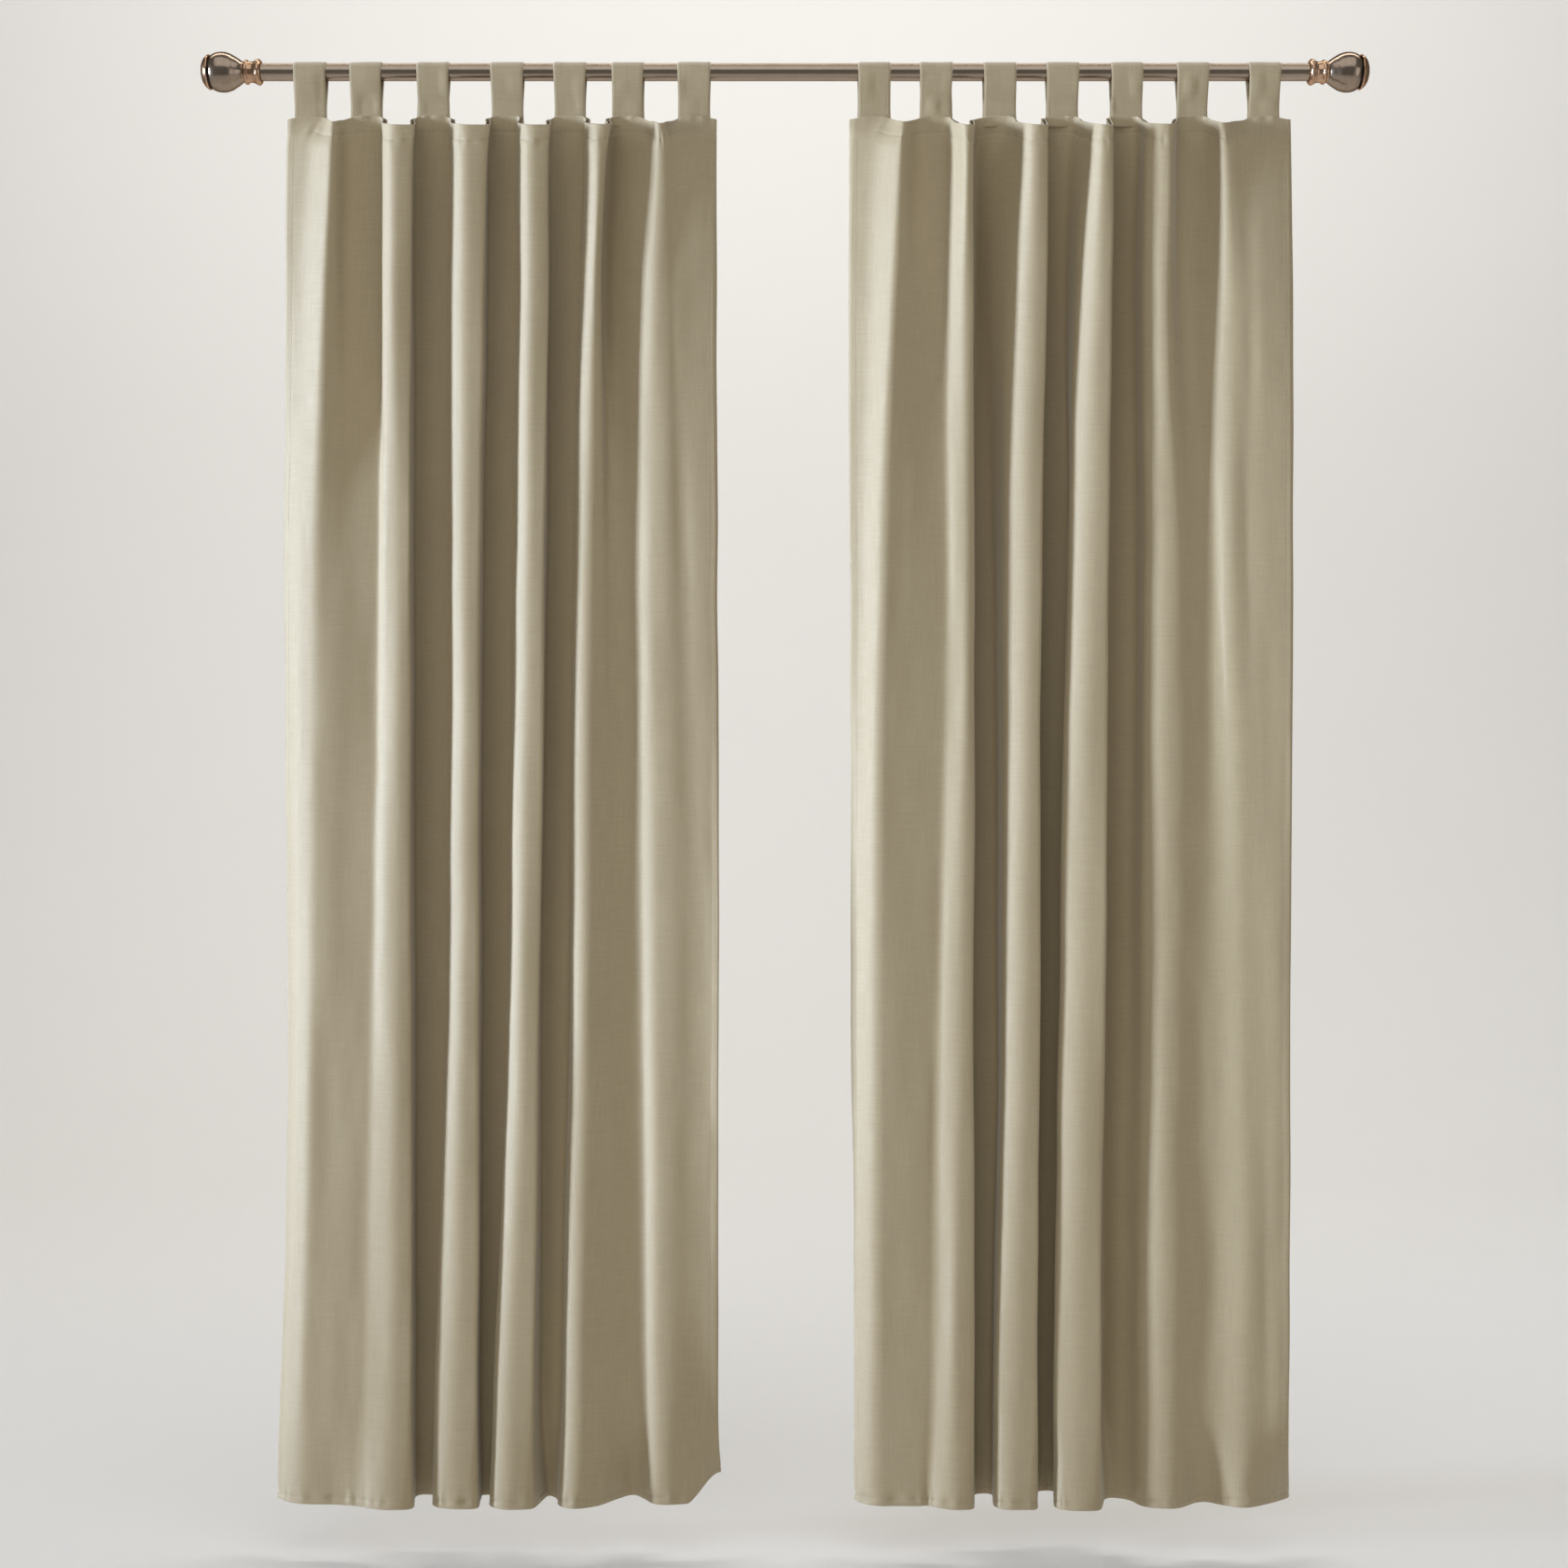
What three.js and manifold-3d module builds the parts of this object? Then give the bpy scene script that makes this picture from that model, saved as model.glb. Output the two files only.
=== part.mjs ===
// A pair of tab-top curtain panels hanging on a finialled rod.
// Millimetres. The origin is the middle of the rod on its axis: +X along the rod,
// +Y towards the wall, +Z up, so the room side faces -Y.
import * as THREE from 'three';
import { mergeVertices } from 'three/addons/utils/BufferGeometryUtils.js';
import Module from 'manifold-3d';

// Rod: a one inch steel tube
const ROD_RADIUS = 12.7;
const ROD_WALL = 1;
const ROD_HALF = 802;
const ROD_SEGMENTS = 32;
const SEAT_INNER = 736; // the stretch between tab and finial where a wall bracket's cradle sits
const SEAT_OUTER = 772;

// Finials: heights are measured from the rod side towards the tip
const FINIAL_START = 777.4;
const FINIAL_SEGMENTS = 20;
const SOCKET_RADIUS = 13;
const SOCKET_DEPTH = 25.1;
const COLLAR_LENGTH = 27.2;
const BULB_START = 27.5;
const BULB_WIDEST = 57.3;
const BULB_END = 72.3;
const BULB_RADIUS = 29;
const BULB_BASE_RADIUS = 15.5;
const BULB_END_RADIUS = 25.5;
const SHELL = 2;
const RING_START = 72.6;
const RING_END = 75.6;
const RING_RADIUS = 23.5;
const CAP_START = 75.9;
const CAP_RADIUS = 25;
const FINIAL_LENGTH = 88.6;
const STUD_RADIUS = 3;
const STUD_HOLE = 3.3;
const STUD_START = 25.4;
const STUD_END = 82.6;

// Set screw: a socket grub screw through the collar's waist, facing the room
const SCREW_HEIGHT = 17.6;
const SCREW_RADIUS = 1.8;
const SCREW_HOLE = 2.15;
const SCREW_TIP = 13;
const SCREW_HEAD = 14.9;
const HEX_SIZE = 0.9;
const HEX_DEPTH = 1;

// Tabs: a doubled strap of cloth looped over the rod and sewn into the header
const TAB_WIDTH = 48;
const STRAP = 2;
const LOOP_RADIUS = 13.3;
const LOOP_STEPS = 12;
const STRAPS_MEET = -54;
const FOOT_TOP = -60;
const FOOT_HALF = 2.1;
const GAP = 0.3;

// Cloth panels: fullness is taken up by one fold between each pair of tabs
const HEADER_TOP = -66;
const HEM = -2120;
const CLOTH = 1.2;
const FACING_DROP = 24;
const FACING = 1;
const FOLD_HALF_DEPTH = 35;
const FOLD_STEPS = 8;
const EDGE_STEPS = 3;
const DROP_STEPS = 5;
const HEADER_LEAN = -34; // at the header the folds bulge from the rod's plane into the room
const LOWER_LEAN = 4; // lower down they hang on both sides of it
const LEAN_STEPS = 2; // over this many steps of the drop that changes

const PANELS = [
  {
    side: 'left',
    outerTab: -704,
    towardsMiddle: 1,
    tabGaps: [83, 99, 110, 93, 86, 98],
    outerMargin: 36,
    innerMargin: 34,
  },
  {
    side: 'right',
    outerTab: 710,
    towardsMiddle: -1,
    tabGaps: [106, 98, 95, 93, 94, 92],
    outerMargin: 41,
    innerMargin: 35,
  },
];

const MATERIALS = {
  rod: { color: 0x7d6c60, roughness: 0.38, metalness: 0.9 },
  bulb: { color: 0x6e5d50, roughness: 0.42, metalness: 0.85 },
  trim: { color: 0xc49a80, roughness: 0.25, metalness: 0.95 },
  ring: { color: 0x3a2f29, roughness: 0.5, metalness: 0.7 },
  screw: { color: 0x2c2724, roughness: 0.5, metalness: 0.8 },
  cloth: { color: 0x9a8f77, roughness: 0.9, metalness: 0 },
  facing: { color: 0x8d836c, roughness: 0.92, metalness: 0 },
};

const wasm = await Module();
wasm.setup();

const curtains = new THREE.Group();

function named(name, geometry, finish) {
  const mesh = new THREE.Mesh(geometry, new THREE.MeshStandardMaterial(MATERIALS[finish]));
  mesh.name = name;
  return mesh;
}

function welded(geometry) {
  const bare = geometry.clone();
  bare.deleteAttribute('normal');
  bare.deleteAttribute('uv');
  return mergeVertices(bare, 1e-3);
}

function toSolid(geometry) {
  const merged = welded(geometry);
  const vertProperties = new Float32Array(merged.attributes.position.array);
  const triVerts = new Uint32Array(merged.index.array);
  return new wasm.Manifold(new wasm.Mesh({ numProp: 3, vertProperties, triVerts }));
}

function toGeometry(solid) {
  const mesh = solid.getMesh();
  const geometry = new THREE.BufferGeometry();
  geometry.setAttribute('position', new THREE.BufferAttribute(mesh.vertProperties, 3));
  geometry.setIndex(new THREE.BufferAttribute(mesh.triVerts, 1));
  geometry.computeVertexNormals();
  return geometry;
}

// A solid of revolution about +Y from [radius, height] pairs, listed up the outside.
// A flat of the facets, not a corner, faces each axis.
function turned(profile, segments) {
  const points = profile.map(([radius, height]) => new THREE.Vector2(radius, height));
  return new THREE.LatheGeometry(points, segments, Math.PI / segments, 2 * Math.PI);
}

// [radius, height] pairs along a smooth curve through the given ones
function smooth(pairs, steps) {
  const curve = new THREE.SplineCurve(pairs.map(([r, h]) => new THREE.Vector2(r, h)));
  return curve.getPoints(steps).map((p) => [p.x, p.y]);
}

// ---- Rod

function rodTube() {
  const inner = ROD_RADIUS - ROD_WALL;
  const profile = [
    [inner, -ROD_HALF],
    [ROD_RADIUS, -ROD_HALF],
    [ROD_RADIUS, -SEAT_OUTER],
    [ROD_RADIUS, -SEAT_INNER],
    [ROD_RADIUS, SEAT_INNER],
    [ROD_RADIUS, SEAT_OUTER],
    [ROD_RADIUS, ROD_HALF],
    [inner, ROD_HALF],
    [inner, -ROD_HALF],
  ];
  const mesh = named('rod_tube', turned(profile, ROD_SEGMENTS), 'rod');
  mesh.rotation.z = -Math.PI / 2;
  return mesh;
}

// ---- Finials

function collarGeometry() {
  const flangeAndWaist = smooth([[17.4, 0.6], [19, 4.4], [16.6, 9], [15.2, 14.9], [15.6, 19]], 10);
  const profile = [
    [SOCKET_RADIUS, 0],
    [16.6, 0],
    ...flangeAndWaist,
    [17.5, 21.2],
    [17.5, 23.6],
    [BULB_BASE_RADIUS, COLLAR_LENGTH],
    [STUD_HOLE, COLLAR_LENGTH],
    [STUD_HOLE, SOCKET_DEPTH],
    [SOCKET_RADIUS, SOCKET_DEPTH],
    [SOCKET_RADIUS, 0],
  ];
  const collar = toSolid(turned(profile, FINIAL_SEGMENTS));
  const drill = new THREE.CylinderGeometry(SCREW_HOLE, SCREW_HOLE, 10, 16);
  drill.rotateX(Math.PI / 2);
  drill.translate(0, SCREW_HEIGHT, ROD_RADIUS + 3);
  return toGeometry(collar.subtract(toSolid(drill)));
}

function bulbGeometry() {
  const outline = [
    [BULB_BASE_RADIUS, BULB_START],
    [22.6, 38],
    [27.6, 48],
    [BULB_RADIUS, BULB_WIDEST],
    [28.2, 65],
    [BULB_END_RADIUS, BULB_END],
  ];
  const outside = smooth(outline, 9);
  const inside = [
    [BULB_END_RADIUS - SHELL, BULB_END - SHELL],
    [BULB_RADIUS - SHELL, BULB_WIDEST],
    [22.6 - SHELL, 39],
    [BULB_BASE_RADIUS - SHELL, BULB_START + SHELL],
  ];
  const profile = [
    [STUD_HOLE, BULB_START],
    ...outside,
    [STUD_HOLE, BULB_END],
    [STUD_HOLE, BULB_END - SHELL],
    ...inside,
    [STUD_HOLE, BULB_START + SHELL],
    [STUD_HOLE, BULB_START],
  ];
  return turned(profile, FINIAL_SEGMENTS);
}

function ringGeometry() {
  const profile = [
    [STUD_HOLE, RING_START],
    [RING_RADIUS, RING_START],
    [RING_RADIUS, RING_END],
    [STUD_HOLE, RING_END],
    [STUD_HOLE, RING_START],
  ];
  return turned(profile, FINIAL_SEGMENTS);
}

function capGeometry() {
  const dome = smooth([[24.2, 78.6], [20.5, 83.6], [13, 87.2], [0, FINIAL_LENGTH]], 6);
  const profile = [
    [CAP_RADIUS - SHELL, CAP_START],
    [CAP_RADIUS, CAP_START],
    [CAP_RADIUS, 77.8],
    ...dome,
    [0, 83],
    [STUD_HOLE, 83],
    [STUD_HOLE, CAP_START],
    [6, CAP_START],
    [6, 84.6],
    [13, 84.2],
    [19, 81.6],
    [CAP_RADIUS - SHELL, 77.6],
    [CAP_RADIUS - SHELL, CAP_START],
  ];
  return turned(profile, FINIAL_SEGMENTS);
}

function studGeometry() {
  const length = STUD_END - STUD_START;
  const stud = new THREE.CylinderGeometry(STUD_RADIUS, STUD_RADIUS, length, 12);
  return stud.translate(0, STUD_START + length / 2, 0);
}

// The screw lies along the finial's local +Z and is turned to face the room with it
function screwGeometry() {
  const length = SCREW_HEAD - SCREW_TIP;
  const body = new THREE.CylinderGeometry(SCREW_RADIUS, SCREW_RADIUS, length, 16);
  const hex = new THREE.CylinderGeometry(HEX_SIZE, HEX_SIZE, 2 * HEX_DEPTH, 6);
  hex.translate(0, length / 2, 0);
  const screw = toGeometry(toSolid(body).subtract(toSolid(hex)));
  screw.rotateX(Math.PI / 2);
  return screw.translate(0, SCREW_HEIGHT, SCREW_TIP + length / 2);
}

// direction is -1 at the left end and 1 at the right end. The lathe's +Y becomes outwards
// along the rod, and its +Z becomes the room side.
function finial(side, direction) {
  const group = new THREE.Group();
  const outwards = new THREE.Vector3(direction, 0, 0);
  const room = new THREE.Vector3(0, -1, 0);
  const across = new THREE.Vector3().crossVectors(outwards, room);
  group.quaternion.setFromRotationMatrix(new THREE.Matrix4().makeBasis(across, outwards, room));
  group.position.x = direction * FINIAL_START;
  group.add(named(`${side}_finial_collar`, collarGeometry(), 'trim'));
  group.add(named(`${side}_finial_bulb`, bulbGeometry(), 'bulb'));
  group.add(named(`${side}_finial_ring`, ringGeometry(), 'ring'));
  group.add(named(`${side}_finial_cap`, capGeometry(), 'trim'));
  group.add(named(`${side}_finial_stud`, studGeometry(), 'screw'));
  group.add(named(`${side}_set_screw`, screwGeometry(), 'screw'));
  return group;
}

// ---- Tabs

// The angle at which a line from a point below the circle touches its +Y side
function touchAngle(y, z, radius) {
  return Math.atan2(z, y) + Math.acos(radius / Math.hypot(y, z));
}

function overTheRod(radius, start) {
  const points = [];
  for (let i = 0; i <= LOOP_STEPS; i += 1) {
    const angle = start + ((Math.PI - 2 * start) * i) / LOOP_STEPS;
    points.push(new THREE.Vector2(radius * Math.cos(angle), radius * Math.sin(angle)));
  }
  return points;
}

function tabGeometry() {
  const outerRadius = LOOP_RADIUS + STRAP;
  const footBottom = HEADER_TOP + GAP;
  const outline = new THREE.Shape([
    new THREE.Vector2(-FOOT_HALF, FOOT_TOP),
    new THREE.Vector2(-FOOT_HALF, footBottom),
    new THREE.Vector2(FOOT_HALF, footBottom),
    new THREE.Vector2(FOOT_HALF, FOOT_TOP),
    ...overTheRod(outerRadius, touchAngle(FOOT_HALF, FOOT_TOP, outerRadius)),
  ]);
  const opening = new THREE.Path([
    new THREE.Vector2(0, STRAPS_MEET),
    ...overTheRod(LOOP_RADIUS, touchAngle(0, STRAPS_MEET, LOOP_RADIUS)),
  ]);
  outline.holes.push(opening);
  const tab = new THREE.ExtrudeGeometry(outline, { depth: TAB_WIDTH, bevelEnabled: false });
  tab.translate(0, 0, -TAB_WIDTH / 2);
  const [x, y, z] = [0, 1, 2].map((i) => new THREE.Vector3().setComponent(i, 1));
  return tab.applyMatrix4(new THREE.Matrix4().makeBasis(y, z, x));
}

// ---- Cloth panels

// The folds in plan, as points across the panel: into the room between tabs, back at each tab
function foldLine(panel, tabs) {
  const before = tabs[0] - panel.towardsMiddle * panel.outerMargin;
  const after = tabs[tabs.length - 1] + panel.towardsMiddle * panel.innerMargin;
  const points = [];
  const quarter = Math.PI / 2;
  for (let i = 0; i < EDGE_STEPS; i += 1) {
    const share = i / EDGE_STEPS;
    const x = before + (tabs[0] - before) * share;
    points.push([x, FOLD_HALF_DEPTH * Math.sin(quarter * share)]);
  }
  for (let t = 0; t + 1 < tabs.length; t += 1) {
    for (let i = 0; i < FOLD_STEPS; i += 1) {
      const share = i / FOLD_STEPS;
      const x = tabs[t] + (tabs[t + 1] - tabs[t]) * share;
      points.push([x, FOLD_HALF_DEPTH * Math.cos(2 * Math.PI * share)]);
    }
  }
  const last = tabs[tabs.length - 1];
  for (let i = 0; i <= EDGE_STEPS; i += 1) {
    const share = i / EDGE_STEPS;
    points.push([last + (after - last) * share, FOLD_HALF_DEPTH * Math.cos(quarter * share)]);
  }
  return points.map(([x, y]) => new THREE.Vector2(x, y));
}

// The line moved sideways by a distance, along its own normals towards the wall
function offsetLine(line, distance, towardsMiddle) {
  return line.map((point, i) => {
    const before = line[Math.max(i - 1, 0)];
    const after = line[Math.min(i + 1, line.length - 1)];
    const along = after.clone().sub(before).normalize().multiplyScalar(towardsMiddle);
    return new THREE.Vector2(point.x - along.y * distance, point.y + along.x * distance);
  });
}

function lean(z) {
  const stepsDown = (DROP_STEPS * (HEADER_TOP - z)) / (HEADER_TOP - HEM);
  const share = THREE.MathUtils.clamp(stepsDown / LEAN_STEPS, 0, 1);
  return HEADER_LEAN + (LOWER_LEAN - HEADER_LEAN) * share;
}

// A strip of cloth between two offsets from the fold line, hanging from top to bottom
function hangingCloth(panel, line, front, back, top, bottom, steps) {
  const face = offsetLine(line, front, panel.towardsMiddle);
  const rear = offsetLine(line, back, panel.towardsMiddle).reverse();
  const outline = new THREE.Shape([...face, ...rear]);
  const depth = top - bottom;
  const cloth = new THREE.ExtrudeGeometry(outline, { depth, steps, bevelEnabled: false });
  cloth.translate(0, 0, bottom);
  const position = cloth.attributes.position;
  for (let i = 0; i < position.count; i += 1) {
    position.setY(i, position.getY(i) + lean(position.getZ(i)));
  }
  return cloth;
}

function curtainPanel(panel) {
  const group = new THREE.Group();
  const tabs = [panel.outerTab];
  for (const gap of panel.tabGaps) {
    tabs.push(tabs[tabs.length - 1] + panel.towardsMiddle * gap);
  }
  tabs.forEach((x, i) => {
    const tab = named(`${panel.side}_tab_${i + 1}`, tabGeometry(), 'cloth');
    tab.position.x = x;
    group.add(tab);
  });
  const line = foldLine(panel, tabs);
  const half = CLOTH / 2;
  const cloth = hangingCloth(panel, line, -half, half, HEADER_TOP, HEM, DROP_STEPS);
  group.add(named(`${panel.side}_panel_cloth`, cloth, 'cloth'));
  const facingFront = half + GAP;
  const facingBottom = HEADER_TOP - FACING_DROP;
  const facing = hangingCloth(
    panel, line, facingFront, facingFront + FACING, HEADER_TOP, facingBottom, 1,
  );
  group.add(named(`${panel.side}_header_facing`, facing, 'facing'));
  return group;
}

curtains.add(rodTube());
curtains.add(finial('left', -1));
curtains.add(finial('right', 1));
PANELS.forEach((panel) => curtains.add(curtainPanel(panel)));

export default curtains;
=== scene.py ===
"""The looks of a pair of tab-top curtain panels hanging on a finialled rod.

Shapes are in millimetres, and the camera, the lamps and the frame are in metres. +X runs along the
rod, +Y towards the wall and +Z up, so the room side faces -Y.
"""
import math

import bpy
import numpy as np
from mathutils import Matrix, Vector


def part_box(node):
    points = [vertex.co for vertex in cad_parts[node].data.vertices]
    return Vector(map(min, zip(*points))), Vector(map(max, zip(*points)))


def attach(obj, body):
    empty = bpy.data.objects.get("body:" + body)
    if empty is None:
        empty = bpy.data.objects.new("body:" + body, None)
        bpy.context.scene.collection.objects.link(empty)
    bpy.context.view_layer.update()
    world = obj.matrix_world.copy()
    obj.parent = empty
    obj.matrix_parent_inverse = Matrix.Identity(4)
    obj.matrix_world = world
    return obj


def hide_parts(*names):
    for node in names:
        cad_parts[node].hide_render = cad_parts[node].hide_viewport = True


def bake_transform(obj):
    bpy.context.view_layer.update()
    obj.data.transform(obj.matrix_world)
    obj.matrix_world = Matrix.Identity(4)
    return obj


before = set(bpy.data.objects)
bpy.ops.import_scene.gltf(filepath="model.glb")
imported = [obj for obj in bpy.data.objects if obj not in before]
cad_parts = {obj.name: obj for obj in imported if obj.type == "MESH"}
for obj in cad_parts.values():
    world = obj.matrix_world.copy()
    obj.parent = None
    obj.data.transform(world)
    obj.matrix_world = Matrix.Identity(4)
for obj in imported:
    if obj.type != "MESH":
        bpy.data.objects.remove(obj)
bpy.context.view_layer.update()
MM = 0.001


def to_mm(metres):
    return round(metres / MM, 2)


# ---- Camera: level, square to the rod, at the height of the curtains' middle
CAMERA_AWAY = 3.3
CAMERA_X = -0.0016
CAMERA_Z = -1.0568
CAMERA_REACH = 50
SENSOR = 36.0
WIDTH_SEEN = 2.3282


def add_camera():
    data = bpy.data.cameras.new("camera")
    data.sensor_width = SENSOR
    data.lens = SENSOR * CAMERA_AWAY / WIDTH_SEEN
    data.clip_end = CAMERA_REACH
    camera = bpy.data.objects.new("camera", data)
    camera.location = (CAMERA_X, -CAMERA_AWAY, CAMERA_Z)
    camera.rotation_euler = (math.pi / 2, 0, 0)
    bpy.context.scene.collection.objects.link(camera)
    bpy.context.scene.camera = camera


add_camera()

# ---- Sizes, in mm
ROD_RADIUS = 12.7
ROD_HALF = to_mm(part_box("rod_tube")[1][0])
FINIAL_START = to_mm(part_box("right_finial_collar")[0][0])
HEADER_TOP = to_mm(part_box("left_panel_cloth")[1][2])
HEM = to_mm(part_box("left_panel_cloth")[0][2])
DROP = HEADER_TOP - HEM
FLAT_WIDTH = 1067.0  # a 42 inch panel
CLOTH = 1.2
HEM_EXTRA = 0.9  # how much thicker the turned hems are
HEADER_PLANE = -3.6  # where the header's flat stretches lie, just in front of the rod's axis
HEADER_STITCH = 23.0  # the lines of stitches, each from its own edge of the cloth
HEM_STITCH = 10.0
SIDE_STITCH = 11.0
FACING_DROP = 25.0  # how far the strip behind the header reaches down
TAB_WIDTH = 48.0
TAB_COUNT = 7

# How the header's top edge sags between the tabs
SAG = 0.44  # for each mm that it bulges into the room
EDGE_SAG = 5.0  # where it doesn't bulge
SAG_FADE = 420.0  # the sag dies out over about this drop

# How the cloth knows the tabs' feet: sideways from the edge of a tab
FOOT_BLEND = 5.0  # the header leaves a tab's foot over this much on both sides of its edge
FOOT_ROOM = (24.0, 36.0)  # the facing keeps clear of the foot up to here, and lies flat again from there
BULGE_START = 12.0  # cloth this far into the room has left the feet
BULGE_WEIGHT = 4.0

# A bottom corner's curl
CURL_FROM_EDGE = (52.0, 2.0)
CURL_HEIGHT = 75.0
CURL_SIDEWAYS = 0.12
CURL_BACK = 0.3

# How far small shapes stand off the cloth
HOLLOW = 0.9
RIPPLE = 0.35
GATHER = 1.7
HEADER_PUCKER = 1.1
HEADER_GROOVE = 0.7
HEM_PUCKER = 1.3
HEM_WAVE = 1.6
HEM_GROOVE = 0.9
SIDE_PUCKER = 0.5
SIDE_GROOVE = 0.3

# ---- The folds of each panel, as plan lines through soft corners at seven heights
# Each corner has its distances from the panel's left side, its distances from the rod's axis towards
# the wall, and its softness. A fold is a ridge into the room: from its left foot it climbs to the left
# shoulder, goes over the crest, and falls from the right shoulder to the right foot.
LEVELS = (0.0, 44.0, 242.0, 671.0, 1350.0, 1904.0, 2054.0)  # below the header's top

LEFT_FLOOR = (HEADER_PLANE, 0, 15, 24, 25, 25, 28)
LEFT_RISE = (-38, -38, -30, -25, -25, -25, -28)
LEFT_CREST = (-60, -60, -49, -41, -41, -41, -44)
LEFT_FALL = (-56, -56, -46, -39, -38.5, -38.5, -41)
LEFT_FOLDS = {
    "left edge": ((3, 1, -1, -4, -2, -13, -17), (HEADER_PLANE, -4, -2, 14, 20, 18, 14), 0),
    "first left foot": ((60, 40, 29, 20, 14, -1, -6), (HEADER_PLANE, -13, -14, -12, -8, -4, -2), 11),
    "first crest": ((72, 72, 66, 47, 40, 24, 19), (-25, -38, -42, -27, -26, -24, -18), 10),
    "first right shoulder": ((79, 81, 80, 73, 69, 59, 56), (-23, -35, -33, -26, -26, -25, -18), 10),
    "first right foot": ((93, 90, 93, 102, 97, 87, 82), (HEADER_PLANE, -4, -10, -22, -26, -27, -18), 14),
    "A left foot": ((144, 145, 146, 143, 132, 121, 117), (HEADER_PLANE, -2, -6, -20, -27, -28, -27), 6),
    "A left shoulder": ((148, 149, 150, 151, 150, 140, 132), (-38, -40, -34, -32, -36, -35, -37), 8),
    "A crest": ((164, 164, 164, 170, 171, 163, 156), LEFT_CREST, 14),
    "A right shoulder": ((201, 197, 194, 192, 191, 193, 195), LEFT_FALL, 3.5),
    "A right foot": ((191, 189, 187, 187, 186, 188, 189), LEFT_FLOOR, 9),
    "B left foot": ((245, 247, 251, 251, 244, 223, 220), LEFT_FLOOR, 8),
    "B left shoulder": ((248, 250, 248, 248, 241, 222, 218), LEFT_RISE, 7),
    "B crest": ((267, 267, 266, 269, 263, 251, 249), LEFT_CREST, 16),
    "B right shoulder": ((311, 306, 301, 294, 290, 289, 293), LEFT_FALL, 4),
    "B right foot": ((303, 300, 295, 288, 286, 284, 285), LEFT_FLOOR, 8),
    "C left foot": ((348, 349, 347, 340, 330, 311, 300), LEFT_FLOOR, 8),
    "C left shoulder": ((346, 347, 347, 340, 330, 309, 304), LEFT_RISE, 8),
    "C crest": ((364, 363, 363, 359, 349, 332, 331), LEFT_CREST, 14),
    "C right shoulder": ((399, 395, 394, 389, 380, 372, 374), LEFT_FALL, 3.5),
    "C right foot": ((392, 390, 388, 385, 375, 376, 386), (HEADER_PLANE, 0, 16, 22, 22, 18, 30), 10),
    "D left foot": ((446, 445, 441, 431, 419, 409, 402), (HEADER_PLANE, 0, 14, 18, 12, 4, 2), 8),
    "D left shoulder": ((445, 445, 440, 431, 423, 415, 408), (-38, -38, -30, -26, -26, -28, -26), 8),
    "D crest": ((467, 467, 461, 452, 443, 435, 430), (-54, -55, -48, -38, -38, -40, -41), 14),
    "D right shoulder": ((488, 481, 471, 472, 474, 472, 470), (-50, -50, -41, -32, -31, -31, -28), 6),
    "D right foot": ((480, 474, 468, 485, 493, 496, 491), (HEADER_PLANE, 4, 12, -21, -25, -21, 4), 12),
    "valley": ((503, 494, 490, 505, 512, 515, 514), (HEADER_PLANE, -2, -1, -15, -21, -17, 30), 16),
    "E left foot": ((531, 523, 516, 523, 529, 532, 528), (HEADER_PLANE, -22, -25, -22, -22, -16, 10), 14),
    "E crest": ((553, 555, 549, 540, 546, 547, 545), (-44, -44, -41, -34, -34, -31, -18), 14),
    "E right shoulder": ((564, 567, 565, 569, 579, 568, 564), (-41, -43, -42, -37, -37, -36, -24), 12),
    "E right foot": ((579, 584, 579, 591, 603, 595, 594), (HEADER_PLANE, -34, -38, -34, -33, -30, -18), 12),
    "last bend": ((605, 607, 598, 612, 628, 617, 614), (HEADER_PLANE, -26, -37, -37, -36, -26, -14), 14),
    "right edge": ((639, 639, 640, 640, 641, 641, 642), (HEADER_PLANE, -20, -33, -36, -40, -22, 0), 0),
}

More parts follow.
